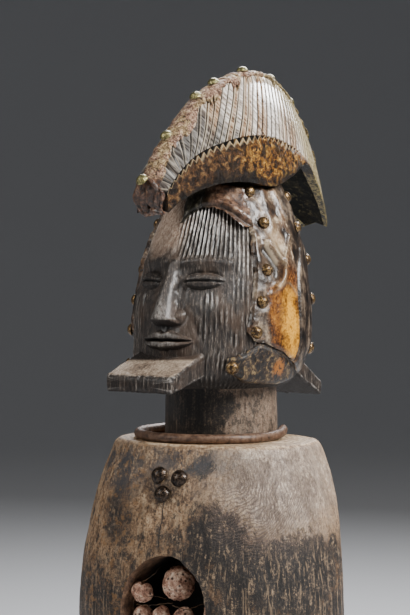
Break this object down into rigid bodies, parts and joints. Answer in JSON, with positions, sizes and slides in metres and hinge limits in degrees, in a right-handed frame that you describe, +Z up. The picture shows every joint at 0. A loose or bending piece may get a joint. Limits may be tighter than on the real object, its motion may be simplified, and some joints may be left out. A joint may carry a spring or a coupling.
{
  "type": "carved power figure",
  "caption": "Carved wooden power figure with a ribbed crest, beard plate, open belly hollow holding a charge, strips of hide set with tacks, and an iron neck ring.",
  "frame": {"origin": "underside of the base, below the middle of the neck", "axes": "+Z up, the figure faces -Y and its left side is +X"},
  "size_m": [0.233, 0.2746, 0.7387],
  "materials": {
    "carved_wood": "worn, patinated hardwood, pale and dark by turns, glossy on the crest",
    "amber_hide": "dried hide, grey-brown to glossy amber",
    "dried_hide": "crusted dry hide",
    "aged_brass": "tarnished domed heads, polished on top",
    "dark_tack": "dark, shiny domed heads",
    "forged_iron": "rust brown, semi-matte",
    "charge_stuff": "dry, pitted, dusty"
  },
  "bodies": {
    "root": {"carved_figure": "carved_wood", "neck_ring": "forged_iron", "hide_forehead": "amber_hide", "hide_jaw_left": "amber_hide", "hide_ridge_strip": "dried_hide", "hide_side_left": "amber_hide", "hide_side_right": "amber_hide", "charge_knot": "charge_stuff", "charge_nut": "charge_stuff", "charge_pebble_left": "charge_stuff", "charge_pebble_middle": "charge_stuff", "charge_seed_right": "charge_stuff", "charge_stone_low_left": "charge_stuff", "charge_stone_low_middle": "charge_stuff", "charge_stone_low_right": "charge_stuff", "charge_stone_right": "charge_stuff", "tack_chest_1": "dark_tack", "tack_chest_2": "dark_tack", "tack_chest_3": "dark_tack", "tack_crest_1": "aged_brass", "tack_crest_2": "aged_brass", "tack_crest_3": "aged_brass", "tack_crest_4": "aged_brass", "tack_crest_5": "aged_brass", "tack_crest_6": "aged_brass", "tack_crest_7": "aged_brass", "tack_crest_8": "aged_brass", "tack_crest_9": "aged_brass", "tack_left_front_1": "aged_brass", "tack_left_front_2": "aged_brass", "tack_left_front_3": "aged_brass", "tack_left_front_4": "aged_brass", "tack_left_front_5": "aged_brass", "tack_left_front_6": "aged_brass", "tack_left_rear_1": "aged_brass", "tack_left_rear_2": "aged_brass", "tack_left_rear_3": "aged_brass", "tack_left_rear_4": "aged_brass", "tack_left_rear_5": "aged_brass", "tack_right_front_1": "aged_brass", "tack_right_front_2": "aged_brass", "tack_right_front_3": "aged_brass", "tack_right_front_4": "aged_brass", "tack_right_front_5": "aged_brass", "tack_right_front_6": "aged_brass", "tack_right_rear_1": "aged_brass", "tack_right_rear_2": "aged_brass", "tack_right_rear_3": "aged_brass", "tack_right_rear_4": "aged_brass", "tack_right_rear_5": "aged_brass"}
  },
  "joints": []
}
